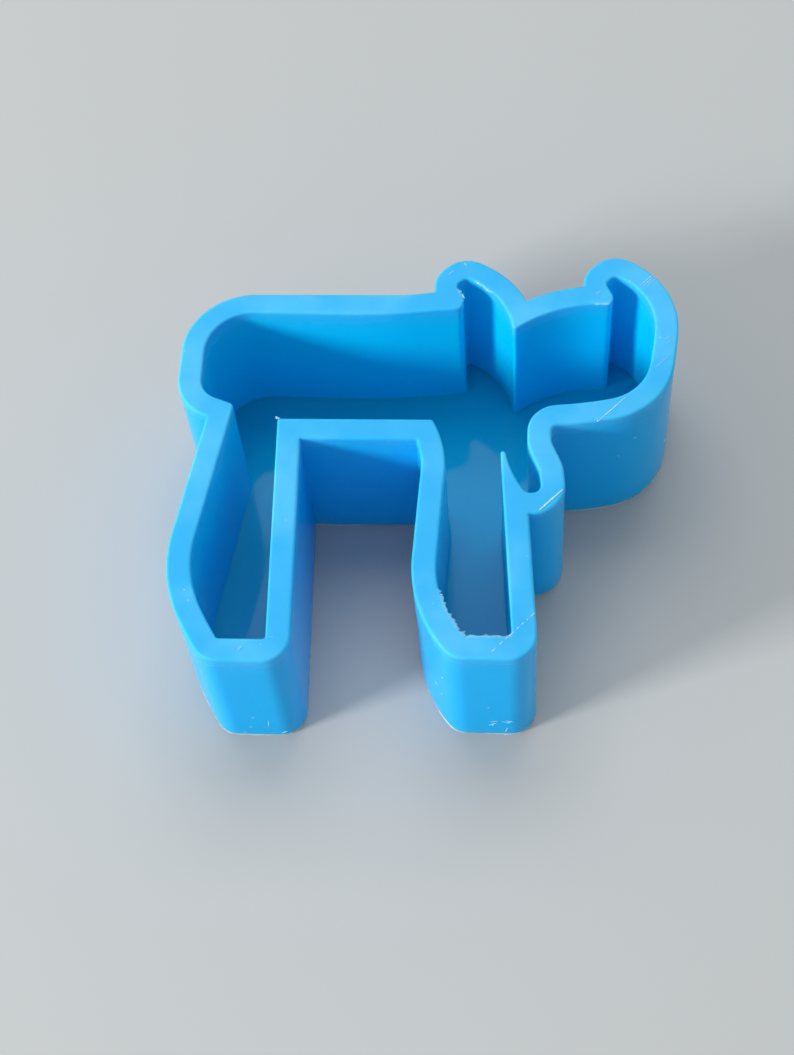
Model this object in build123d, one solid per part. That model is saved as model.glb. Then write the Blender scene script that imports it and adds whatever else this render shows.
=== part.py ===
from build123d import *
import os

# One-piece silicone mould for casting resin: an open tray with a flat floor and an
# upright wall of even thickness that follows a decorative outline.
# +X runs to the right, +Y to the back and +Z up. The origin is on the table,
# under the middle of the whole outline. All sizes are in millimetres.

# ---- overall sizes -------------------------------------------------------------
cavity_length = 97.0      # X, from the left shoulder to the right of the belly
cavity_width = 88.8       # Y, from the left foot to the corner of the right horn
overall_height = 38.0     # table to rim
wall = 5.0                # wall thickness, the same all the way round
floor_thickness = 4.0     # silicone under the cavity

# ---- bar: the level stretch across the back ------------------------------------
bar_drop = 10.2           # back wall below the right horn's tip
bar_depth = 27.0          # back wall to the arch between the legs
back_rise = 1.3           # how much the back wall lifts before the left horn
back_rise_run = 13.5      # length of that lift
knuckle_inset = 41.6      # where the left horn springs from it, in from the belly's right
shoulder_radius = 10.2    # back left corner
armpit_drop = 23.5        # back wall to the crook over the left leg
armpit_inset = 7.6        # crook, in from the shoulder
armpit_rise = 3.0         # shoulder's lower edge over the crook
armpit_radius = 5.0       # corner under the shoulder
crook_radius = 1.2        # the crook itself

# ---- left leg ------------------------------------------------------------------
left_thigh_inset = 17.2   # inner side at the arch, in from the shoulder
left_foot_inset = 18.5    # inner side at the foot, in from the shoulder
left_foot_width = 9.8     # level end of the foot
left_calf_bulge = 7.8     # calf, out from the foot's outer corner
left_calf_height = 15.2   # calf's corner over the foot
left_calf_radius = 26.0   # round of the calf
left_shin_bow = 0.4       # slight bow from calf to foot

# ---- right leg -----------------------------------------------------------------
right_leg_lean = 2.5      # outer side at the foot, to the right of the spike
right_foot_width = 9.6    # level end of the foot
right_foot_lift = 1.2     # right foot ends this far short of the left one
right_calf_bulge = 5.9    # calf, out from the foot's inner corner
right_calf_height = 18.0  # calf over the foot
right_shin_bow = 1.8      # bow from calf to foot
right_knee_width = 12.1   # spike to the inner side at the knee
right_knee_drop = 14.2    # knee below the arch
right_thigh_flare = 2.9   # inner side's run out to the arch
right_thigh_bow = 1.1     # hollow bow from knee to arch

# ---- horns: two round ears with a valley between -------------------------------
left_horn_inset = 43.0    # left edge of the left horn's ear, in from the right
right_horn_inset = 10.5   # left edge of the right horn's ear, in from the right
left_horn_drop = 0.7      # left horn's tip below the right horn's tip
horn_waist = 1.8          # waist of a horn, to the right of its ear's left edge
horn_neck = 5.6           # waist below the horn's tip
horn_lean = 1.9           # ear's left corner below the horn's tip
ear_width = 2.1           # ear's left corner to its top corner
ear_radius = 1.3          # round of each ear
knuckle_radius = 1.5      # hollow where a horn springs from the wall
waist_radius = 2.0        # round of a horn's waist
valley_inset = 30.4       # bottom of the valley, in from the right
valley_drop = 14.5        # bottom of the valley, below the horn tips
valley_radius = 0.6       # blunted edge at the bottom of the valley
left_flank_bow = 2.4      # bow of the left horn's right side
saddle_inset = 9.3        # right end of the saddle, in from the right
saddle_drop = 7.6         # right end of the saddle, below the horn tips
saddle_bow = 2.1          # bow of the saddle
right_flank_bow = 2.6     # bow of the right horn's right side

# ---- belly and tail ------------------------------------------------------------
belly_top_drop = 14.1     # where the belly's right side begins, below the tips
belly_side_bow = 0.4      # bow of the right side
belly_corner_inset = 2.8  # lower right corner, in from the right
belly_corner_drop = 29.9  # lower right corner, below the horn tips
belly_radius = 11.0       # round of that corner
belly_bow = 0.95          # bow of the lower side
throat_inset = 27.0       # outer side of the tail, in from the belly's right
throat_drop = 33.5        # lower side of the belly at the throat
throat_radius = 6.5       # hollow between belly and tail
tail_bend_drop = 43.4     # tail's bend, below the horn tips
tail_bend_radius = 9.0    # round of the bend
tail_hip_run = 2.6        # hip of the tail, to the right of the throat
tail_hip_drop = 6.0       # hip of the tail, below the bend
tail_hip_radius = 5.0     # round of the hip
tail_tip_drop = 5.1       # tip of the tail, below the hip
tail_tip_slant = 0.5      # tip, to the right of the hip
tail_tip_width = 3.2      # nearly level end of the tip
tail_tip_dip = 0.3        # left end of the tip, below its right end
tail_tip_radius = 1.8     # round of the tip
tail_side_bow = 0.55      # bow of the tail's left side
spike_run = 5.0           # tip of the spike, to the left of the throat
spike_drop = 45.3         # tip of the spike, below the horn tips
spike_width = 1.0         # blunt tip between the tail and the right leg
tail_reach = 20.0         # spike's tip to where the right leg's wall stands alone

# ---- small edges ---------------------------------------------------------------
foot_radius = 0.6         # corners of the feet
arch_radius = 0.5         # corners of the arch
cut_margin = 0.5          # how far a wall cut runs past both faces
shoulder_cut_gap = 1.2    # the cuts beside the shoulder's round, past its ends

# ---- lines that the shapes share -----------------------------------------------
left_x = -cavity_length / 2
right_x = cavity_length / 2
front_y = -cavity_width / 2
horn_y = cavity_width / 2
bar_y = horn_y - bar_drop
arch_y = bar_y - bar_depth
left_horn_y = horn_y - left_horn_drop
right_foot_y = front_y + right_foot_lift
wall_height = overall_height - floor_thickness
throat_x = right_x - throat_inset
spike_x = throat_x - spike_run
spike_y = horn_y - spike_drop
tail_hip_x = throat_x + tail_hip_run
tail_hip_y = horn_y - tail_bend_drop - tail_hip_drop
right_foot_x = spike_x + right_leg_lean
left_foot_x = left_x + left_foot_inset - left_foot_width


class Corner:
    """A corner of the outline: its place, its round, and the bow of the next side."""

    def __init__(self, x, y, radius=0.0, bow=0.0):
        self.place = Vector(x, y)
        self.radius = radius
        self.bow = bow


# Each function below gives one stretch of the cavity's outline, clockwise from above.
# A stretch begins at a corner, and the wall is cut there.

def shoulder():
    crook_y = bar_y - armpit_drop
    return [
        Corner(left_x + armpit_inset, crook_y, crook_radius),
        Corner(left_x, crook_y + armpit_rise, armpit_radius),
    ]


def shoulder_corner():
    return [
        Corner(left_x, bar_y - shoulder_radius - shoulder_cut_gap),
        Corner(left_x, bar_y, shoulder_radius),
    ]


def back():
    return [Corner(left_x + shoulder_radius + shoulder_cut_gap, bar_y)]


def horn(ear_x, tip_y):
    """The left side of a horn, from its waist to its ear."""
    return [
        Corner(ear_x + horn_waist, tip_y - horn_neck, waist_radius),
        Corner(ear_x, tip_y - horn_lean, ear_radius),
    ]


def left_horn():
    knuckle_x = right_x - knuckle_inset
    rise = Corner(knuckle_x - back_rise_run, bar_y)
    knuckle = Corner(knuckle_x, bar_y + back_rise, knuckle_radius)
    return [rise, knuckle] + horn(right_x - left_horn_inset, left_horn_y)


def left_flank():
    tip_x = right_x - left_horn_inset + ear_width
    return [Corner(tip_x, left_horn_y, ear_radius, left_flank_bow)]


def saddle():
    """From the valley between the horns to the right horn's ear."""
    valley = Corner(right_x - valley_inset, horn_y - valley_drop, valley_radius, saddle_bow)
    knuckle = Corner(right_x - saddle_inset, horn_y - saddle_drop, knuckle_radius)
    return [valley, knuckle] + horn(right_x - right_horn_inset, horn_y)


def right_flank():
    tip_x = right_x - right_horn_inset + ear_width
    return [Corner(tip_x, horn_y, ear_radius, right_flank_bow)]


def belly_side():
    return [Corner(right_x, horn_y - belly_top_drop, 0, belly_side_bow)]


def belly_corner():
    corner_x = right_x - belly_corner_inset
    return [Corner(corner_x, horn_y - belly_corner_drop, belly_radius, belly_bow)]


def throat():
    return [
        Corner(throat_x, horn_y - throat_drop, throat_radius),
        Corner(throat_x, horn_y - tail_bend_drop, tail_bend_radius),
    ]


def tail():
    return [Corner(tail_hip_x, tail_hip_y, tail_hip_radius)]


def spike():
    """From the tip of the tail, over the spike, to the top of the right leg."""
    tip_x = tail_hip_x + tail_tip_slant
    tip_y = tail_hip_y - tail_tip_drop
    end_x = tip_x - tail_tip_width
    return [
        Corner(tip_x, tip_y, tail_tip_radius),
        Corner(end_x, tip_y - tail_tip_dip, tail_tip_radius, tail_side_bow),
        Corner(spike_x + spike_width / 2, spike_y, 0, -spike_width / 2),
        Corner(spike_x - spike_width / 2, spike_y),
    ]


def right_leg_outer():
    foot = Vector(right_foot_x, right_foot_y)
    top = Vector(spike_x - spike_width / 2, spike_y)
    below_tail = top + (foot - top) * (tail_reach / (top - foot).length)
    return [Corner(below_tail.X, below_tail.Y)]


def right_foot():
    return [Corner(right_foot_x, right_foot_y, foot_radius)]


def right_shin():
    toe_x = right_foot_x - right_foot_width
    return [Corner(toe_x, right_foot_y, foot_radius, right_shin_bow)]


def right_leg_inner():
    calf_x = right_foot_x - right_foot_width - right_calf_bulge
    knee_y = arch_y - right_knee_drop
    return [
        Corner(calf_x, right_foot_y + right_calf_height),
        Corner(spike_x - right_knee_width, knee_y, 0, -right_thigh_bow),
    ]


def arch():
    return [Corner(spike_x - right_knee_width - right_thigh_flare, arch_y, arch_radius)]


def left_leg_inner():
    return [Corner(left_x + left_thigh_inset, arch_y, arch_radius)]


def left_foot():
    return [Corner(left_x + left_foot_inset, front_y, foot_radius)]


def left_shin():
    return [Corner(left_foot_x, front_y, foot_radius, left_shin_bow)]


def left_thigh():
    calf_x = left_foot_x - left_calf_bulge
    return [Corner(calf_x, front_y + left_calf_height, left_calf_radius)]


# The stretches in order round the cavity. Each one is a region of the wall.
stretches = {
    "shoulder_wall": shoulder(),
    "shoulder_corner_wall": shoulder_corner(),
    "back_wall": back(),
    "left_horn_wall": left_horn(),
    "left_horn_flank_wall": left_flank(),
    "saddle_wall": saddle(),
    "right_horn_flank_wall": right_flank(),
    "belly_side_wall": belly_side(),
    "belly_corner_wall": belly_corner(),
    "throat_wall": throat(),
    "tail_wall": tail(),
    "spike_wall": spike(),
    "right_leg_outer_wall": right_leg_outer(),
    "right_foot_wall": right_foot(),
    "right_shin_wall": right_shin(),
    "right_leg_inner_wall": right_leg_inner(),
    "arch_wall": arch(),
    "left_leg_inner_wall": left_leg_inner(),
    "left_foot_wall": left_foot(),
    "left_shin_wall": left_shin(),
    "left_thigh_wall": left_thigh(),
}


def outward(start, end):
    """Unit vector from the side start-end away from the cavity."""
    along = (end - start).normalized()
    return Vector(-along.Y, along.X)


def side(start, end, bow):
    """One side of the outline, straight or bowed away from the cavity."""
    if bow == 0:
        return Line(start, end)
    middle = (start + end) / 2 + outward(start, end) * bow
    return ThreePointArc(start, middle, end)


def plain_side(edge):
    """The same side, written as a straight line or a circular arc."""
    if edge.geom_type == GeomType.LINE:
        return Line(edge @ 0, edge @ 1)
    return ThreePointArc(edge @ 0, edge @ 0.5, edge @ 1)


def plan_face(corners):
    """A face in plan: all sides joined, then each corner rounded."""
    following = corners[1:] + corners[:1]
    sides = [side(a.place, b.place, a.bow) for a, b in zip(corners, following)]
    face = make_face(sides).face()
    for corner in corners:
        if corner.radius > 0:
            vertex = min(
                face.vertices(),
                key=lambda v: (Vector(v.X, v.Y) - corner.place).length,
            )
            face = face.fillet_2d(corner.radius, [vertex])
    return face


def turns_out(before, corner, after):
    """True where the outline turns away from the cavity, which leaves a hollow outside."""
    return (corner.place - before.place).cross(after.place - corner.place).Z > 0


def outer_face(corners):
    """The cavity grown by the wall. A hollow corner tighter than the wall leaves no
    round on the outside, so it is grown as a sharp one."""
    grown = []
    for i, corner in enumerate(corners):
        hollow = turns_out(corners[i - 1], corner, corners[(i + 1) % len(corners)])
        radius = 0 if hollow and corner.radius <= wall else corner.radius
        grown.append(Corner(corner.place.X, corner.place.Y, radius, corner.bow))
    outline = offset(plan_face(grown), amount=wall, kind=Kind.ARC).face().outer_wire()
    return make_face([plain_side(edge) for edge in outline.edges()])


def cut_at(before, corner, after):
    """Upright face that crosses the wall at a corner, along its mitre."""
    arriving = side(before.place, corner.place, before.bow) % 1
    leaving = side(corner.place, after.place, corner.bow) % 0
    normal = Vector(-arriving.Y, arriving.X)
    mitre = (normal + Vector(-leaving.Y, leaving.X)).normalized()
    slant = 1 / mitre.dot(normal)
    rounded_off = corner.radius * (slant - 1)
    reach_in = cut_margin
    reach_out = wall + cut_margin
    if turns_out(before, corner, after):
        reach_out = max(wall * slant, wall + rounded_off) + cut_margin
    else:
        reach_in = rounded_off + cut_margin
    middle = corner.place + mitre * (reach_out - reach_in) / 2
    plane = Plane(
        origin=(middle.X, middle.Y, floor_thickness + wall_height / 2),
        x_dir=(mitre.X, mitre.Y, 0),
        z_dir=(-mitre.Y, mitre.X, 0),
    )
    return Face.make_rect(reach_in + reach_out, wall_height + 2 * cut_margin, plane)


def probe(corners, next_corner):
    """A point in the middle of the wall beside the longest side of a stretch."""
    ends = corners + [next_corner]
    sides = sorted(zip(ends, ends[1:]), key=lambda s: (s[1].place - s[0].place).length)
    start, end = sides[-1]
    away = outward(start.place, end.place) * (start.bow + wall / 2)
    middle = (start.place + end.place) / 2 + away
    return Vector(middle.X, middle.Y, overall_height - wall_height / 2)


def wall_regions(ring):
    """The wall, cut at the first corner of every stretch and sorted by name."""
    names = list(stretches)
    corners = [corner for name in names for corner in stretches[name]]
    pieces = [ring]
    for name in names:
        i = corners.index(stretches[name][0])
        cut = cut_at(corners[i - 1], corners[i], corners[(i + 1) % len(corners)])
        pieces = [part for piece in pieces for part in piece.split(cut, keep=Keep.ALL)]
    regions = {}
    for name, next_name in zip(names, names[1:] + names[:1]):
        point = probe(stretches[name], stretches[next_name][0])
        regions[name] = next(piece for piece in pieces if piece.is_inside(point))
    return regions


def mould():
    """Every region of the casting, by name."""
    corners = [corner for stretch in stretches.values() for corner in stretch]
    cavity = plan_face(corners)
    outer = outer_face(corners)
    ring = extrude(Pos(0, 0, floor_thickness) * (outer - cavity), amount=wall_height)
    regions = {"base_slab": extrude(outer, amount=floor_thickness).solid()}
    regions.update(wall_regions(ring.solid()))
    middle = outer.bounding_box().center()
    return {name: Pos(-middle.X, -middle.Y) * part for name, part in regions.items()}


if __name__ == "__main__":
    os.makedirs("parts", exist_ok=True)
    for name, region in mould().items():
        export_step(region, f"parts/{name}.step")
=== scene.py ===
import math
import random

import bmesh
import bpy
import numpy as np
from mathutils import Matrix, Vector, kdtree, noise


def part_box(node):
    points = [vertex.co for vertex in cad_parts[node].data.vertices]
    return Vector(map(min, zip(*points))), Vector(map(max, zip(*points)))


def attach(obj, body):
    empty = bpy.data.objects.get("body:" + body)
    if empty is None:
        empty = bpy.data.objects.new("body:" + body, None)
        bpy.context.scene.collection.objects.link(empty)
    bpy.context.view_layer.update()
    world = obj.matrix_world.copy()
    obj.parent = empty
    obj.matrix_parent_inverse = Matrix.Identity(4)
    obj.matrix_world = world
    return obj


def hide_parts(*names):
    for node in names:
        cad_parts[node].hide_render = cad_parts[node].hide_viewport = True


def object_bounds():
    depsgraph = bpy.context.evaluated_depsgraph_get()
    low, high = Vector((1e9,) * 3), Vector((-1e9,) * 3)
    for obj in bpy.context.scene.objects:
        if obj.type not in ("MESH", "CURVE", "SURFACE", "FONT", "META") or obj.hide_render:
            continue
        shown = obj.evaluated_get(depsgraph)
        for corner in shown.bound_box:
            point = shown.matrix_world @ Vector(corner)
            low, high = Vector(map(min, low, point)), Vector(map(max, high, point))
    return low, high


# Looks for a one-piece silicone mould. One seamless skin stands for every region of
# the casting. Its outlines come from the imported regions' own rim. Small separate pieces
# are the marks that the casting's surface carries: hairlines, torn flash and scrapes.

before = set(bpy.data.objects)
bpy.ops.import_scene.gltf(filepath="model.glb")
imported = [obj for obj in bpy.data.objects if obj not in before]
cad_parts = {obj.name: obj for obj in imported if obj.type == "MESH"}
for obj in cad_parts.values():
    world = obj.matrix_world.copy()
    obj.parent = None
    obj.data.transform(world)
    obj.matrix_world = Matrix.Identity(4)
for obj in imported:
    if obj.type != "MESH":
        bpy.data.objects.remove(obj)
cad_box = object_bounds()

MM = 0.001
RIM_Z = cad_box[1].z
FLOOR_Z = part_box("base_slab")[1].z

# ---- the outlines' points ----
WELD = 0.004 * MM          # rim points of neighbouring regions this close are one
FINE_STEP = 0.1 * MM       # spacing while a curve is drawn and softened
STEP = 0.45 * MM           # spacing of the skin's points on straight stretches
BEND_STEP = math.radians(9)    # most turn between two of the skin's points
SHARP = math.radians(14)       # a larger turn than this is a corner, not a curve
LONG_SIDE = 2.5                # a side this many times its neighbour keeps its direction
CORNER_PASSES = 7              # softening of sharp corners, to about 0.3 mm
FOLDED = 0.97      # a point nearer the outline than this share of its move has folded over

# ---- the skin's section ----
RIM_ROUND = 0.55 * MM      # outer edge of the rim
RIM_CRISP = 0.45 * MM      # inner edge of the rim
FLOOR_ROUND = 0.4 * MM     # wall to floor, inside
FOOT_ROUND = 0.7 * MM      # wall to underside, outside
FLAT_MARGIN = 0.15 * MM    # a ring this far into each flat keeps it flat
EDGE_RINGS = 6             # rings round an edge
WALL_RINGS = 13            # rings up a wall, closest together near the rim
WALL_CROWDING = 1.6        # how strongly they crowd towards it
CLEAR_OF_RIM = 1.3         # a wall's rings keep this many radii clear of a rounded edge
CLEAR_OF_FOOT = 2
CLEAR_OF_FLOOR = 2.2
SWELL = 0.09 * MM          # how uneven the walls are
SWELL_LENGTH = 9 * MM      # from one swell to the next
SWELL_FADE = 12 * MM       # the swell fades out this far from the rim and the foot
SATIN_AND_PAINTED_GLOW_DEPTH = 1.9 * MM     # how fast the rim's duller finish and its painted glow fade down the walls
FOOT_GROOVE = 0.6 * FOOT_ROUND     # how far the foot goes in above the lip
LIP_HEIGHT = 0.28 * MM     # flash that seeped out under the master, at the foot
LIP_REACH = 0.62 * MM
LIP_LENGTH = 0.9 * MM      # from one tooth of its torn edge to the next
LIP_DRIFT_LENGTH = 9 * LIP_LENGTH
LIP_MEAN = 0.42            # these four are shares of its reach
LIP_TEETH = 0.35
LIP_DRIFT = 0.75
LIP_LEAST = 0.05
FILM_TOOTH = 0.6 * MM      # from one tooth of a torn film to the next
FILM_FADE = 1.2 * MM       # a film fades out this far past its ends
FILM_MEAN = 0.5            # these four are shares of a film's reach
FILM_TEETH = 0.9
FILM_LEAST = 0.03
FILM_MOST = 1.3
FILM_PALE = 0.5 * MM       # a film that reaches this far would be wholly pale
FILM_PALEST = 0.4          # but no part of it is paler than this

# ---- marks on the casting ----
PRINT_ANGLE = math.radians(46)     # the master's print lines, across the rim
SHORTEST_DASH = 0.3 * MM
DASHES = (0.5, 1.6)        # from the shortest to the longest drawn by chance, in mm
HAIRLINE_HEIGHT = 0.08 * MM
HAIRLINE_SPARE = 1.4       # drawn this much wider than it shows: its edges are sunk and ragged
SCRAPE_WIDTH = 0.30 * MM
SCRAPE_HEIGHT = 0.06 * MM
SLIVER_STEP = 0.35 * MM    # from one section of a ridge to the next
SLIVER_SUNK = 0.03 * MM    # how deep its edges lie under the surface
SLIVER_BLUNT = 0.35        # the lower this is, the more suddenly a ridge comes to a point
SLIVER_RAGGED = (0.7, 1.1)     # its width goes up and down between these shares
SLIVER_POINT = 0.05        # and is this share at both ends
SLIVER_WANDER = 0.12       # how far it strays from a straight line, as a share of its width
SLIVER_CREST = 0.2         # from its middle line to the edge of its crest, likewise
CRUMPLE = 0.22 * MM        # size of a flake's crumples
CRUMPLE_DEPTH = 0.6        # as a share of the flake's radius
CRUMB_SINK = 0.05 * MM     # how deep a crumb's middle lies under the rim
CRUMB_SCATTER = 0.35       # in crumb sizes
CRUMB_SIZES = (0.7, 1.1)       # shares of the size in the list
FLAKE_SIZES = (0.6, 1.2)       # shares of how far the film reaches
FLAKE_SCATTER = 0.25       # off the rim's edge, to either side, in mm
FLAKE_SINK = (0.1, 0.3)    # below the rim, in mm


def shore(amount):
    """Smooth step from 0 to 1 for a number or an array."""
    amount = np.clip(amount, 0, 1)
    return amount * amount * (3 - 2 * amount)


# ---- outlines ----

def rim_outlines():
    """The rim's two closed outlines in plan, counter-clockwise, the outer one first."""
    rim = bmesh.new()
    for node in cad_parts.values():
        places = [v.co for v in node.data.vertices]
        for face in node.data.polygons:
            corners = [places[i] for i in face.vertices]
            if all(abs(c.z - RIM_Z) < WELD for c in corners):
                rim.faces.new([rim.verts.new(c) for c in corners])
    bmesh.ops.remove_doubles(rim, verts=rim.verts, dist=WELD)
    edges = {e for e in rim.edges if len(e.link_faces) == 1}
    loops = []
    while edges:
        edge = min(edges, key=lambda e: tuple(e.verts[0].co))
        start = vertex = edge.verts[0]
        loop = []
        while edge:
            edges.discard(edge)
            loop.append(vertex.co.xy.copy())
            vertex = edge.other_vert(vertex)
            edge = next((e for e in vertex.link_edges if e in edges), None)
        assert vertex is start
        if area(loop) < 0:
            loop.reverse()
        loops.append(loop)
    rim.free()
    return sorted(loops, key=area, reverse=True)


def area(loop):
    """Area inside a closed outline, negative if it runs clockwise."""
    return sum(a.cross(b) for a, b in zip(loop, loop[1:] + loop[:1])) / 2


def directions(points):
    """The curve's direction as it reaches each point and as it leaves it."""
    count = len(points)
    sides = [points[(i + 1) % count] - points[i] for i in range(count)]
    arriving, leaving = [], []
    for i in range(count):
        before, after = sides[i - 1], sides[i]
        in_way, out_way = before.normalized(), after.normalized()
        if before.angle(after) < SHARP:
            if before.length > LONG_SIDE * after.length:
                way = in_way
            elif after.length > LONG_SIDE * before.length:
                way = out_way
            else:
                way = (in_way * after.length + out_way * before.length).normalized()
            in_way = out_way = way
        arriving.append(in_way)
        leaving.append(out_way)
    return arriving, leaving


def drawn(points):
    """A fine smooth curve through a closed outline's points."""
    arriving, leaving = directions(points)
    curve = []
    for i, start in enumerate(points):
        after = (i + 1) % len(points)
        end = points[after]
        length = (end - start).length
        steps = max(1, round(length / FINE_STEP))
        for t in np.arange(steps) / steps:
            hold, reach = (1 + 2 * t) * (1 - t) ** 2, t * (1 - t) ** 2
            place = start * hold + leaving[i] * length * reach
            place += end * (1 - hold) - arriving[after] * length * t * t * (1 - t)
            curve.append(place)
    return np.array(curve)


def softened(loop, passes):
    """The outline with each point drawn a little towards its neighbours, passes times."""
    for _ in range(passes):
        loop = (np.roll(loop, 1, 0) + 2 * loop + np.roll(loop, -1, 0)) / 4
    return loop


def spread(loop):
    """The same outline with its points close together on bends, far apart elsewhere."""
    sides = np.roll(loop, -1, 0) - loop
    headings = np.arctan2(sides[:, 1], sides[:, 0])
    turns = np.abs((np.roll(headings, -1) - headings + math.pi) % (2 * math.pi) - math.pi)
    effort = np.cumsum(np.linalg.norm(sides, axis=1) / STEP + turns / BEND_STEP)
    effort = np.concatenate(([0], effort))
    wanted = np.linspace(0, effort[-1], int(effort[-1]), endpoint=False)
    closed = np.vstack([loop, loop[:1]])
    return np.column_stack([np.interp(wanted, effort, closed[:, k]) for k in (0, 1)])


def outward(loop):
    """Unit normals of a counter-clockwise outline, pointing out of it."""
    before = loop - np.roll(loop, 1, 0)
    after = np.roll(before, -1, 0)
    long_before = np.linalg.norm(before, axis=1)[:, None]
    long_after = np.linalg.norm(after, axis=1)[:, None]
    along = before / long_before * long_after + after / long_after * long_before
    along /= np.linalg.norm(along, axis=1)[:, None]
    return np.column_stack([along[:, 1], -along[:, 0]])


class Outline:
    """One of the rim's outlines, ready to be moved in or out for a ring of the skin."""

    def __init__(self, points):
        fine = softened(drawn(points), CORNER_PASSES)
        self.loop = spread(fine)
        self.normals = outward(self.loop)
        self.tree = kdtree.KDTree(len(fine))
        for i, place in enumerate(fine):
            self.tree.insert((*place, 0), i)
        self.tree.balance()

    def moved(self, distance):
        """The outline moved outwards. Points that fold over at a tight corner close up."""
        distance = np.broadcast_to(distance, len(self.loop))
        ring = self.loop + self.normals * distance[:, None]
        gaps = np.array([self.tree.find((*place, 0))[2] for place in ring])
        good = np.flatnonzero(gaps > FOLDED * np.abs(distance) - WELD)
        every, count = np.arange(len(ring)), len(ring)
        columns = [np.interp(every, good, ring[good, k], period=count) for k in (0, 1)]
        return np.column_stack(columns)

    def nearest(self, place):
        return int(np.argmin(np.linalg.norm(self.loop - place, axis=1)))

    def stretch(self, start, end, fade):
        """1 between two places along the outline, fading to 0 past both ends."""
        sides = np.linalg.norm(np.roll(self.loop, -1, 0) - self.loop, axis=1)
        along = np.concatenate(([0], np.cumsum(sides)))
        first, last = along[self.nearest(start)], along[self.nearest(end)]
        total = along[-1]
        reach = ((last - first + total / 2) % total) - total / 2
        middle, half = first + reach / 2, abs(reach) / 2
        away = np.abs((along[:-1] - middle + total / 2) % total - total / 2) - half
        return shore(1 - away / fade)


def in_box(node, across, along):
    """A place in plan, as shares of a CAD node's box."""
    low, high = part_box(node)
    return np.array([
        low.x + (high.x - low.x) * across,
        low.y + (high.y - low.y) * along,
    ])


# ---- the skin ----

def noise_at(places, z, length, seed, detail=False):
    """Soft noise from -1 to 1 at places in plan, all at one height."""
    offset = Vector((seed * 17.3, seed * 5.1, seed * 9.7))
    values = []
    for x, y in places:
        point = Vector((x, y, z)) / length + offset
        values.append(noise.noise(point) + (noise.noise(point * 2.7) / 2 if detail else 0))
    return np.array(values)


def swell(outline, z):
    """How far an upright wall sits back from the CAD face at a height."""
    depth = shore(np.minimum(RIM_Z - z, z) / SWELL_FADE)
    return SWELL * depth * (0.5 + 0.5 * noise_at(outline.loop, z, SWELL_LENGTH, seed=1))


def satin_and_painted_glow(z):
    """The rim's share at a height: its duller finish, and its paler colour as painted glow, fade out
    down the walls.
    """
    return math.exp((z - RIM_Z) / SATIN_AND_PAINTED_GLOW_DEPTH)


def quarter():
    """Sine and cosine pairs round a quarter turn."""
    return [(math.sin(a), math.cos(a)) for a in np.linspace(0, math.pi / 2, EDGE_RINGS)]


SHARES = ("rim_share", "floor_share", "torn_share", "inside_share")


class Ring:
    """One ring of the skin: how far its outline is moved out, its height, and how much
    it has of the rim's finish and painted sheen, the floor's gloss and painted shade,
    torn silicone, and the painted light of the inside."""

    def __init__(self, out, z, rim=0.0, floor=0.0, torn=0.0, inside=0.0):
        self.out, self.z = out, z
        self.shares = dict(zip(SHARES, (rim, floor, torn, inside)))


def wall_heights(top, bottom):
    """Heights of a wall's rings, closest together near the rim."""
    return top + (bottom - top) * np.linspace(0, 1, WALL_RINGS) ** WALL_CROWDING


def outer_rings(outline):
    """The skin's rings from the rim down the outside to the underside."""
    rings = [Ring(-RIM_ROUND - FLAT_MARGIN, RIM_Z, rim=1)]
    for sine, cosine in quarter():
        z = RIM_Z - RIM_ROUND * (1 - cosine)
        rings.append(Ring(-RIM_ROUND * (1 - sine), z, rim=satin_and_painted_glow(z)))
    for z in wall_heights(RIM_Z - CLEAR_OF_RIM * RIM_ROUND, CLEAR_OF_FOOT * FOOT_ROUND):
        rings.append(Ring(-swell(outline, z), z, rim=satin_and_painted_glow(z)))
    teeth = noise_at(outline.loop, 0, LIP_LENGTH, seed=2, detail=True)
    drift = noise_at(outline.loop, 0, LIP_DRIFT_LENGTH, seed=3)
    lip = LIP_REACH * np.clip(LIP_MEAN + LIP_TEETH * teeth + LIP_DRIFT * drift, LIP_LEAST, 1)
    lip = np.minimum(lip, FOOT_GROOVE)
    # Down the foot: in to the groove, out along the lip's torn top and back under it.
    rings.append(Ring(-0.1 * FOOT_GROOVE, FOOT_ROUND * 1.2))
    rings.append(Ring(-0.5 * FOOT_GROOVE, FOOT_ROUND * 0.7))
    rings.append(Ring(-FOOT_GROOVE, LIP_HEIGHT * 1.15, torn=0.15))
    rings.append(Ring(-FOOT_GROOVE + 0.8 * lip, LIP_HEIGHT * 0.75, torn=0.6))
    rings.append(Ring(-FOOT_GROOVE + lip, LIP_HEIGHT * 0.35, torn=0.6))
    rings.append(Ring(-FOOT_GROOVE + 0.7 * lip, 0, torn=0.3))
    rings.append(Ring(-FOOT_GROOVE - 2 * FLAT_MARGIN, 0))
    return rings


# Stretches of the rim's inner edge with a torn film: both ends in plan, how far the
# film reaches in mm, and how many flakes hang on each mm of it. The flakes are about as
# large as the film reaches.
TEARS = [
    (("right_shin_wall", 0.60, 0.62), ("right_shin_wall", 0.98, 0.24), 0.95, 0.5),
    (("right_foot_wall", 0.12, 1.0), ("right_foot_wall", 0.84, 1.0), 0.70, 0.8),
    (("left_horn_wall", 0.98, 0.30), ("left_horn_wall", 0.96, 0.44), 0.75, 3.0),
    (("left_horn_flank_wall", 0.24, 0.66), ("left_horn_flank_wall", 0.40, 0.54), 0.70, 2.2),
    (("saddle_wall", 0.84, 0.38), ("saddle_wall", 0.93, 0.36), 0.22, 0.5),
]


def torn_film(outline):
    """How far a thin torn film reaches over the cavity from the rim's inner edge."""
    teeth = noise_at(outline.loop, 0, FILM_TOOTH, seed=5, detail=True)
    film = np.zeros(len(outline.loop))
    for start, end, reach, _ in TEARS:
        film += outline.stretch(in_box(*start), in_box(*end), FILM_FADE) * reach * MM
    return film * np.clip(FILM_MEAN + FILM_TEETH * teeth, FILM_LEAST, FILM_MOST)


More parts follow.
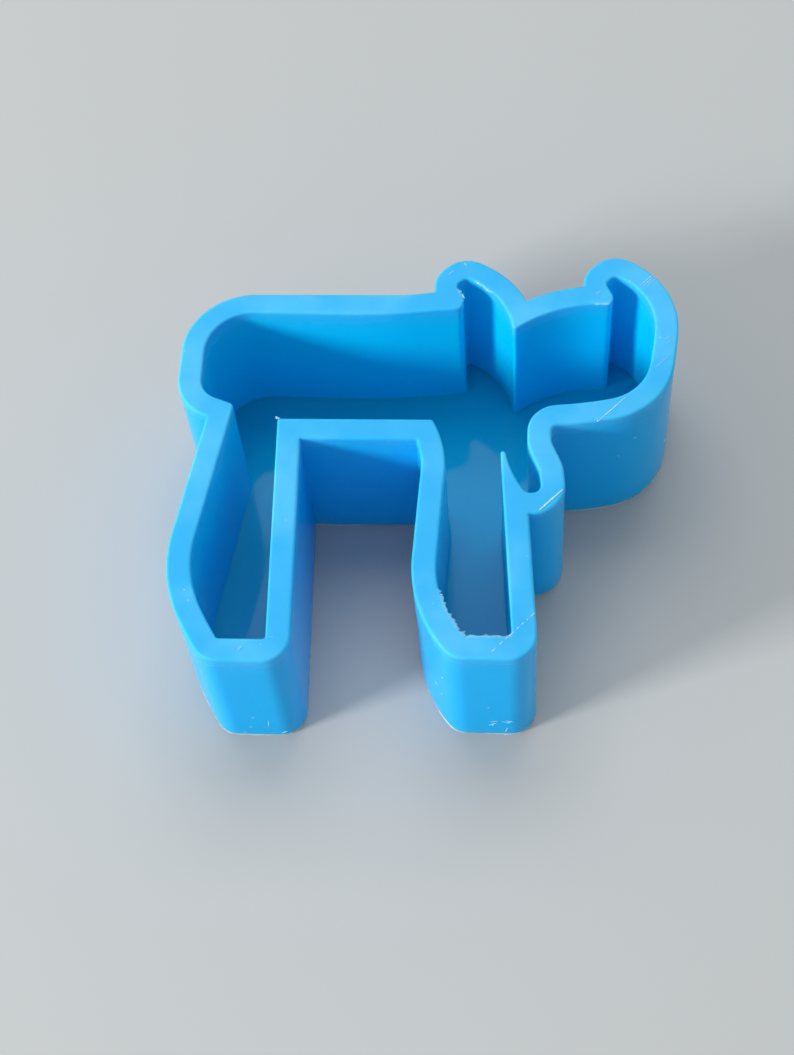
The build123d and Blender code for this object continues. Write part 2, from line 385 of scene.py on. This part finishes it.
def inner_rings(outline):
    """The skin's rings from the rim down the inside to the cavity's floor."""
    film = torn_film(outline)
    torn = np.clip(film / FILM_PALE, 0, FILM_PALEST)
    rings = [Ring(RIM_CRISP + FLAT_MARGIN, RIM_Z, rim=1)]
    for sine, cosine in quarter():
        z = RIM_Z - RIM_CRISP * (1 - cosine)
        bulge = film * sine * cosine * 2    # the film reaches furthest halfway round
        out = RIM_CRISP * (1 - sine) - bulge
        rings.append(Ring(out, z, rim=satin_and_painted_glow(z), torn=torn * sine, inside=sine))
    top, bottom = RIM_Z - CLEAR_OF_RIM * RIM_CRISP, FLOOR_Z + CLEAR_OF_FLOOR * FLOOR_ROUND
    for z in wall_heights(top, bottom):
        rings.append(Ring(swell(outline, z), z, rim=satin_and_painted_glow(z), inside=1))
    for sine, cosine in quarter():
        z = FLOOR_Z + FLOOR_ROUND * (1 - sine)
        rings.append(Ring(-FLOOR_ROUND * (1 - cosine), z, floor=sine, inside=1))
    rings.append(Ring(-FLOOR_ROUND - FLAT_MARGIN, FLOOR_Z, floor=1, inside=1))
    return rings


def add_rings(mesh, outline, rings):
    """Adds the rings' points and the quads between them. Returns the first and last."""
    rows = []
    for ring in rings:
        row = [mesh.verts.new((x, y, ring.z)) for x, y in outline.moved(ring.out)]
        for name, amount in ring.shares.items():
            layer = mesh.verts.layers.float[name]
            for vertex, value in zip(row, np.broadcast_to(amount, len(row))):
                vertex[layer] = value
        rows.append(row)
    for upper, lower in zip(rows, rows[1:]):
        for i in range(len(upper)):
            mesh.faces.new((upper[i - 1], upper[i], lower[i], lower[i - 1]))
    return rows[0], rows[-1]


def fill(mesh, *rows):
    """Closes the flat between rows of points with triangles."""
    edges = [mesh.edges.get((row[i - 1], row[i])) for row in rows for i in range(len(row))]
    bmesh.ops.triangle_fill(mesh, edges=edges, use_beauty=True)


def finished(name, mesh, material):
    """Turns a bmesh into a piece that rides on the casting's one body."""
    bmesh.ops.recalc_face_normals(mesh, faces=mesh.faces)
    data = bpy.data.meshes.new(name)
    mesh.to_mesh(data)
    mesh.free()
    for face in data.polygons:
        face.use_smooth = True
    data.materials.append(material)
    piece = bpy.data.objects.new(name, data)
    bpy.context.scene.collection.objects.link(piece)
    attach(piece, "root")
    return piece


def mould_skin(outer, inner):
    """The whole casting as one closed skin."""
    mesh = bmesh.new()
    for name in SHARES:
        mesh.verts.layers.float.new(name)
    outer_top, underside = add_rings(mesh, outer, outer_rings(outer))
    inner_top, floor = add_rings(mesh, inner, inner_rings(inner))
    fill(mesh, outer_top, inner_top)
    fill(mesh, underside)
    fill(mesh, floor)
    skin = finished("mould_skin", mesh, silicone())
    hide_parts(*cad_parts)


# ---- materials ----

def add_node(tree, kind, settings=None, **inputs):
    """A shader node with its settings and its inputs: values, or sockets to link."""
    node = tree.nodes.new(kind)
    for name, value in (settings or {}).items():
        setattr(node, name, value)
    for name, value in inputs.items():
        socket = node.inputs[int(name[1:])] if name[1:].isdigit() else node.inputs[name]
        if isinstance(value, bpy.types.NodeSocket):
            tree.links.new(value, socket)
        else:
            socket.default_value = value
    return node


def mix(tree, factor, first, second):
    """Colour first where factor is 0 and second where it is 1."""
    settings = {"data_type": "RGBA"}
    return add_node(tree, "ShaderNodeMix", settings, _0=factor, _6=first, _7=second).outputs[2]


def ramp(tree, value, low, high, out_low=0.0, out_high=1.0):
    """Maps low..high to out_low..out_high, smoothly and without overshoot."""
    settings = {"interpolation_type": "SMOOTHSTEP"}
    node = add_node(
        tree, "ShaderNodeMapRange", settings, _0=value, _1=low, _2=high, _3=out_low, _4=out_high
    )
    return node.outputs[0]


def math_node(tree, operation, first, second):
    return add_node(tree, "ShaderNodeMath", {"operation": operation}, _0=first, _1=second).outputs[0]


def noise_node(tree, place, scale, detail=2.0, roughness=0.5):
    node = add_node(
        tree, "ShaderNodeTexNoise", Vector=place, Scale=scale, Detail=detail, Roughness=roughness
    )
    return node.outputs["Fac"]


def new_material(name):
    material = bpy.data.materials.new(name)
    material.use_nodes = True
    tree = material.node_tree
    return material, tree, tree.nodes["Principled BSDF"]


def share(tree, name):
    return add_node(tree, "ShaderNodeAttribute", {"attribute_name": name}).outputs["Fac"]


# ---- colours ----
# The walls' inside has a lighter blue than their outside. It stands in for light that
# the real translucent walls let through, more than the shader's subsurface does.
WALL_BLUE = (0.003, 0.43, 0.86, 1)
WALL_DEEP = (0.002, 0.39, 0.82, 1)
INSIDE_PAINTED_LIGHT_BLUE = (0.001, 0.545, 0.88, 1)
# The rim's two paler, whiter blues are painted sheen, mixed at random by the clouds.
RIM_BLUE_PAINTED_SHEEN = (0.034, 0.42, 0.75, 1)
RIM_PALER_PAINTED_SHEEN = (0.085, 0.49, 0.80, 1)
# The cavity floor's darker blue is painted shade.
FLOOR_PAINTED_SHADE_BLUE = (0.003, 0.38, 0.63, 1)
SCUFF = (0.20, 0.55, 0.86, 1)
TORN = (0.30, 0.66, 0.92, 1)
BRIGHT = (0.80, 0.94, 1.0, 1)    # a thin torn edge
PALE = (0.56, 0.86, 1.0, 1)      # dust, and the lightest part of torn silicone

# ---- finishes ----
WALL_ROUGHNESS = 0.24
RIM_ROUGHNESS = 0.46
FLOOR_GLOSS = -0.17              # added to the walls' roughness on the cavity's floor
ROUGHNESS_VARIES = 0.03
SCUFF_HEIGHT = 9 * MM            # scuffs fade out this far up the walls


def silicone():
    """Azure silicone: a duller rim, semi-gloss walls and a glossy cavity floor; its colour carries
    painted sheen, glow, shade and light.
    """
    material, tree, shader = new_material("azure_silicone")
    place = add_node(tree, "ShaderNodeTexCoord").outputs["Object"]
    height = add_node(tree, "ShaderNodeSeparateXYZ", _0=place).outputs[2]
    rim, floor, torn, inside = [share(tree, name) for name in SHARES]
    clouds = noise_node(tree, place, scale=70, detail=3)
    grain = noise_node(tree, place, scale=1400, detail=3, roughness=0.6)
    specks = noise_node(tree, place, scale=900, detail=1)

    # Painted light: the walls' inside is a lighter blue, for light let through the translucent walls.
    wall_colour = mix(tree, inside, mix(tree, clouds, WALL_BLUE, WALL_DEEP), INSIDE_PAINTED_LIGHT_BLUE)
    # Painted sheen: the rim's paler, whiter blue.
    rim_colour = mix(tree, ramp(tree, clouds, 0.35, 0.7), RIM_BLUE_PAINTED_SHEEN, RIM_PALER_PAINTED_SHEEN)
    colour = mix(tree, rim, wall_colour, rim_colour)
    # Painted shade: the cavity's floor is a darker blue.
    colour = mix(tree, floor, colour, FLOOR_PAINTED_SHADE_BLUE)
    low_down = math_node(tree, "SUBTRACT", ramp(tree, height, 0, SCUFF_HEIGHT, 1, 0), floor)
    scuffed = math_node(tree, "MULTIPLY", low_down, ramp(tree, specks, 0.70, 0.78, 0, 0.5))
    colour = mix(tree, scuffed, colour, SCUFF)
    dust = math_node(tree, "MULTIPLY", rim, ramp(tree, specks, 0.76, 0.82, 0, 0.35))
    colour = mix(tree, dust, colour, PALE)
    colour = mix(tree, torn, colour, BRIGHT)
    tree.links.new(colour, shader.inputs["Base Color"])

    dull = ramp(tree, rim, 0, 1, WALL_ROUGHNESS, RIM_ROUGHNESS)
    gloss = math_node(tree, "MULTIPLY", floor, FLOOR_GLOSS)
    uneven = ramp(tree, clouds, 0.3, 0.7, -ROUGHNESS_VARIES, ROUGHNESS_VARIES)
    roughness = math_node(tree, "ADD", dull, gloss)
    tree.links.new(math_node(tree, "ADD", roughness, uneven), shader.inputs["Roughness"])

    waves = add_node(tree, "ShaderNodeBump", Strength=0.25, Distance=0.25 * MM,
                     Height=noise_node(tree, place, scale=110, detail=1))
    grainy = add_node(tree, "ShaderNodeBump", Strength=ramp(tree, floor, 0, 1, 0.12, 0.02),
                      Distance=0.05 * MM, Height=grain, Normal=waves.outputs[0])
    tree.links.new(grainy.outputs[0], shader.inputs["Normal"])
    shader.inputs["Subsurface Weight"].default_value = 0.7
    shader.inputs["Subsurface Radius"].default_value = (0.1, 0.55, 1.0)
    shader.inputs["Subsurface Scale"].default_value = 3.5 * MM
    shader.inputs["IOR"].default_value = 1.41
    shader.inputs["Specular IOR Level"].default_value = 0.13
    return material


def pale_silicone():
    """Torn or scraped silicone: rough, so it looks whitish."""
    material, tree, shader = new_material("torn_silicone")
    place = add_node(tree, "ShaderNodeTexCoord").outputs["Object"]
    mottle = noise_node(tree, place, scale=2500, detail=2)
    colour = mix(tree, ramp(tree, mottle, 0.35, 0.65), TORN, PALE)
    tree.links.new(colour, shader.inputs["Base Color"])
    tree.links.new(ramp(tree, mottle, 0.3, 0.7, 0.35, 0.6), shader.inputs["Roughness"])
    bump = add_node(tree, "ShaderNodeBump", Strength=0.3, Distance=0.05 * MM, Height=mottle)
    tree.links.new(bump.outputs[0], shader.inputs["Normal"])
    shader.inputs["Subsurface Weight"].default_value = 0.2
    shader.inputs["Subsurface Scale"].default_value = 0.5 * MM
    return material


# ---- marks ----

def sliver(mesh, start, way, up, length, width, height, rng):
    """A thin ridge with pointed ends that lies on a surface, a little sunk into it."""
    way, up = way.normalized(), up.normalized()
    aside = way.cross(up)
    stations = max(4, int(length / SLIVER_STEP))
    rows = []
    for i in range(stations + 1):
        t = i / stations
        full = math.sin(math.pi * t) ** SLIVER_BLUNT * rng.uniform(*SLIVER_RAGGED)
        full = SLIVER_POINT if i in (0, stations) else full
        middle = start + way * length * t + aside * rng.uniform(-SLIVER_WANDER, SLIVER_WANDER) * width
        rows.append([
            mesh.verts.new(middle - aside * width * full / 2 - up * SLIVER_SUNK),
            mesh.verts.new(middle - aside * width * full * SLIVER_CREST + up * height * full),
            mesh.verts.new(middle + aside * width * full * SLIVER_CREST + up * height * full),
            mesh.verts.new(middle + aside * width * full / 2 - up * SLIVER_SUNK),
        ])
    for a, b in zip(rows, rows[1:]):
        for k in range(4):
            mesh.faces.new((a[k - 1], a[k], b[k], b[k - 1]))
    mesh.faces.new(rows[0])
    mesh.faces.new(rows[-1][::-1])


# Print lines that the master left across the rim: node, place in its box, length in mm,
# width in mm, and the gap between dashes in mm (0 for an unbroken line).
HAIRLINES = [
    ("right_horn_flank_wall", 0.43, 0.61, 4.5, 0.14, 0),
    ("right_horn_flank_wall", 0.47, 0.60, 4.2, 0.10, 0),
    ("right_horn_flank_wall", 0.52, 0.60, 3.4, 0.10, 0),
    ("belly_side_wall", 0.66, 0.84, 1.7, 0.12, 0),
    ("belly_side_wall", 0.70, 0.79, 1.7, 0.12, 0),
    ("belly_side_wall", 0.43, 0.45, 5.0, 0.10, 0),
    ("belly_corner_wall", 0.515, 0.12, 8.9, 0.20, 0),
    ("spike_wall", 0.67, 0.30, 7.4, 0.34, 0),
    ("right_foot_wall", 0.51, 0.31, 12.2, 0.20, 0.5),
    ("left_horn_wall", 0.73, 0.72, 1.8, 0.12, 0),
    ("saddle_wall", 0.81, 0.48, 1.5, 0.10, 0),
    ("left_foot_wall", 0.43, 0.42, 1.7, 0.14, 0),
]


def rim_hairlines(material):
    """The ridges that the print lines left, all in the one direction."""
    rng = random.Random(4)
    mesh = bmesh.new()
    way = Vector((math.cos(PRINT_ANGLE), math.sin(PRINT_ANGLE), 0))
    for node, across, along, length, width, gap in HAIRLINES:
        start = Vector((*in_box(node, across, along), RIM_Z))
        done = 0
        while done < length:
            dash = length if gap == 0 else min(rng.uniform(*DASHES), length - done)
            drawn_length = max(dash * MM, SHORTEST_DASH)
            sliver(mesh, start + way * done * MM, way, Vector((0, 0, 1)), drawn_length,
                   HAIRLINE_SPARE * width * MM, HAIRLINE_HEIGHT, rng)
            done += dash + gap
    finished("rim_hairlines", mesh, material)


# Crumbs on the rim: place in plan, how many, and their size in mm.
CRUMBS = [
    (("arch_wall", 0.0, 1.0), 5, 0.62),
    (("belly_corner_wall", 0.52, 0.14), 3, 0.45),
    (("belly_corner_wall", 0.62, 0.385), 3, 0.45),
    (("back_wall", 0.78, 0.65), 1, 0.30),
    (("left_foot_wall", 0.73, 0.69), 2, 0.36),
    (("left_foot_wall", 0.76, 0.62), 1, 0.26),
    (("arch_wall", 0.47, 0.51), 1, 0.28),
    (("right_horn_flank_wall", 0.27, 0.68), 2, 0.36),
]


def crumb(mesh, place, size, rng):
    """A small crumpled flake of torn silicone."""
    grown = bmesh.ops.create_icosphere(mesh, subdivisions=2, radius=size / 2)
    turn = Matrix.Rotation(rng.uniform(0, math.pi), 4, "Z")
    lean = Matrix.Rotation(rng.uniform(-0.6, 0.6), 4, "X")
    flat = Matrix.Diagonal((rng.uniform(0.6, 1.3), rng.uniform(0.3, 0.55), 0.55, 1))
    shape = Matrix.Translation(place) @ turn @ lean @ flat
    for vertex in grown["verts"]:
        crumple = noise.noise(vertex.co / CRUMPLE + place / MM)
        vertex.co = shape @ (vertex.co * (1 + CRUMPLE_DEPTH * crumple))


def torn_flash(inner, material):
    """Crumbs on the rim, and flakes along the torn stretches of its inner edge."""
    rng = random.Random(11)
    mesh = bmesh.new()
    for place, count, size in CRUMBS:
        middle = Vector((*in_box(*place), RIM_Z - CRUMB_SINK))
        for _ in range(count):
            aside = Vector((rng.gauss(0, CRUMB_SCATTER), rng.gauss(0, CRUMB_SCATTER), 0)) * size * MM
            crumb(mesh, middle + aside, size * rng.uniform(*CRUMB_SIZES) * MM, rng)
    for start, end, reach, density in TEARS:
        first, last = inner.nearest(in_box(*start)), inner.nearest(in_box(*end))
        low, high = min(first, last), max(first, last)
        length = np.linalg.norm(np.diff(inner.loop[low:high + 1], axis=0), axis=1).sum() / MM
        for _ in range(int(length * density) + 1):
            i = rng.randint(low, high)
            x, y = inner.loop[i] + inner.normals[i] * rng.uniform(-FLAKE_SCATTER, FLAKE_SCATTER) * MM
            size = reach * rng.uniform(*FLAKE_SIZES) * MM
            crumb(mesh, Vector((x, y, RIM_Z - rng.uniform(*FLAKE_SINK) * MM)), size, rng)
    finished("torn_flash", mesh, material)


# Scrapes on the outer walls: place in plan, height in mm, length in mm, and slant in
# degrees from level.
SCRAPES = [
    (("right_foot_wall", 0.42, 0.0), 5.0, 2.3, 35),
    (("right_foot_wall", 0.47, 0.0), 7.0, 1.8, 10),
    (("right_foot_wall", 0.50, 0.0), 4.6, 1.5, 80),
    (("right_foot_wall", 0.60, 0.0), 7.4, 1.7, -30),
    (("right_foot_wall", 0.66, 0.0), 1.6, 2.4, 75),
    (("right_foot_wall", 0.68, 0.0), 7.6, 2.0, -20),
    (("right_foot_wall", 0.70, 0.0), 6.2, 1.6, 50),
    (("right_foot_wall", 0.66, 0.0), 6.8, 1.2, 5),
    (("right_foot_wall", 0.42, 0.0), 14.2, 0.5, 20),
    (("right_shin_wall", 0.62, 0.14), 22.0, 1.2, 60),
    (("right_shin_wall", 0.52, 0.24), 15.0, 1.0, -40),
    (("right_shin_wall", 0.60, 0.16), 13.0, 0.6, 20),
    (("left_foot_wall", 0.62, 0.0), 5.0, 3.0, 85),
    (("left_foot_wall", 0.40, 0.0), 9.5, 0.5, 10),
    (("left_foot_wall", 0.34, 0.0), 4.5, 0.5, 40),
    (("left_foot_wall", 0.78, 0.0), 1.8, 1.4, 25),
    (("belly_corner_wall", 0.90, 0.15), 27.0, 0.8, 15),
    (("belly_corner_wall", 0.75, 0.0), 22.0, 0.5, -25),
    (("belly_side_wall", 1.0, 0.40), 9.0, 0.7, 60),
]


def scrapes(outer, material):
    """Short pale ridges on the outer walls, each lying on the wall's own surface."""
    rng = random.Random(8)
    mesh = bmesh.new()
    for place, height, length, slant in SCRAPES:
        i = outer.nearest(in_box(*place))
        normal = outer.normals[i]
        x, y = outer.loop[i] - normal * swell(outer, height * MM)[i]
        out = Vector((*normal, 0))
        level = Vector((-out.y, out.x, 0))
        tilt = math.radians(slant)
        way = level * math.cos(tilt) + Vector((0, 0, math.sin(tilt)))
        start = Vector((x, y, height * MM))
        sliver(mesh, start, way, out, length * MM, SCRAPE_WIDTH, SCRAPE_HEIGHT, rng)
    finished("wall_scrapes", mesh, material)


# ---- studio ----

FLOOR_DARK = (0.44, 0.44, 0.43, 1)
FLOOR_LIGHT = (0.47, 0.47, 0.46, 1)
FLOOR_SIZE = 3
FLOOR_GAP = 0.04 * MM      # keeps the mould's underside and the floor apart


def plain_floor():
    """Plain pale floor that the mould stands on."""
    material, tree, shader = new_material("plain_floor")
    place = add_node(tree, "ShaderNodeTexCoord").outputs["Object"]
    mottle = noise_node(tree, place, scale=3, detail=2)
    tone = mix(tree, mottle, FLOOR_DARK, FLOOR_LIGHT)
    tree.links.new(tone, shader.inputs["Base Color"])
    shader.inputs["Roughness"].default_value = 0.7
    mesh = bmesh.new()
    bmesh.ops.create_grid(mesh, x_segments=8, y_segments=8, size=FLOOR_SIZE)
    data = bpy.data.meshes.new("studio_floor")
    mesh.to_mesh(data)
    mesh.free()
    data.materials.append(material)
    piece = bpy.data.objects.new("studio_floor", data)
    piece.location.z = -FLOOR_GAP
    bpy.context.scene.collection.objects.link(piece)


def soft_light(name, heading, height, distance, size, power, colour=(1, 1, 1)):
    """An area light that faces the mould. Heading is where it stands, in degrees from +X
    towards +Y, and height is degrees above the floor."""
    light = bpy.data.lights.new(name, "AREA")
    light.shape = "RECTANGLE"
    light.size, light.size_y = size
    light.energy = power
    light.color = colour
    lamp = bpy.data.objects.new(name, light)
    turn, rise = math.radians(heading), math.radians(height)
    away = Vector((math.cos(turn) * math.cos(rise), math.sin(turn) * math.cos(rise), math.sin(rise)))
    middle = (cad_box[0] + cad_box[1]) / 2
    lamp.location = middle + away * distance
    lamp.rotation_euler = (-away).to_track_quat("-Z", "Y").to_euler()
    bpy.context.scene.collection.objects.link(lamp)


def studio():
    """Two soft lamps and an even pale world."""
    soft_light("window_left", heading=207, height=21, distance=1.5, size=(0.30, 0.30), power=22)
    soft_light("softbox_back", heading=98, height=62, distance=1.6, size=(1.3, 0.9), power=11,
               colour=(0.95, 0.96, 1.0))
    world = bpy.data.worlds.new("studio")
    world.use_nodes = True
    background = world.node_tree.nodes["Background"]
    background.inputs["Color"].default_value = (0.86, 0.95, 1.0, 1)
    background.inputs["Strength"].default_value = 0.60
    bpy.context.scene.world = world
    bpy.context.scene.view_settings.view_transform = "Standard"


# ---- camera ----

VIEW_DOWN = math.radians(60.95)    # below the horizon
VIEW_TURN = math.radians(8.4)      # from straight ahead, to the left
VIEW_ROLL = math.radians(6.73)
VIEW_LENS = 67.2
VIEW_SHIFT_X, VIEW_SHIFT_Y = 23.7 * MM, -211.9 * MM      # the camera's place in plan
VIEW_HEIGHT = 351.4 * MM                                 # above the rim


def camera():
    """The photo's camera, as solved from the rim, the floor line and the foot."""
    data = bpy.data.cameras.new("camera")
    data.lens = VIEW_LENS
    data.clip_start = 10 * MM
    view = bpy.data.objects.new("camera", data)
    tilt = Matrix.Rotation(math.pi / 2 - VIEW_DOWN, 4, "X")
    turn = Matrix.Rotation(VIEW_TURN, 4, "Z")
    place = Matrix.Translation((VIEW_SHIFT_X, VIEW_SHIFT_Y, RIM_Z + VIEW_HEIGHT))
    view.matrix_world = place @ turn @ tilt @ Matrix.Rotation(-VIEW_ROLL, 4, "Z")
    bpy.context.scene.collection.objects.link(view)
    bpy.context.scene.camera = view


outer_outline, inner_outline = [Outline(loop) for loop in rim_outlines()]
mould_skin(outer_outline, inner_outline)
torn_material = pale_silicone()
rim_hairlines(torn_material)
torn_flash(inner_outline, torn_material)
scrapes(outer_outline, torn_material)
plain_floor()
studio()
camera()
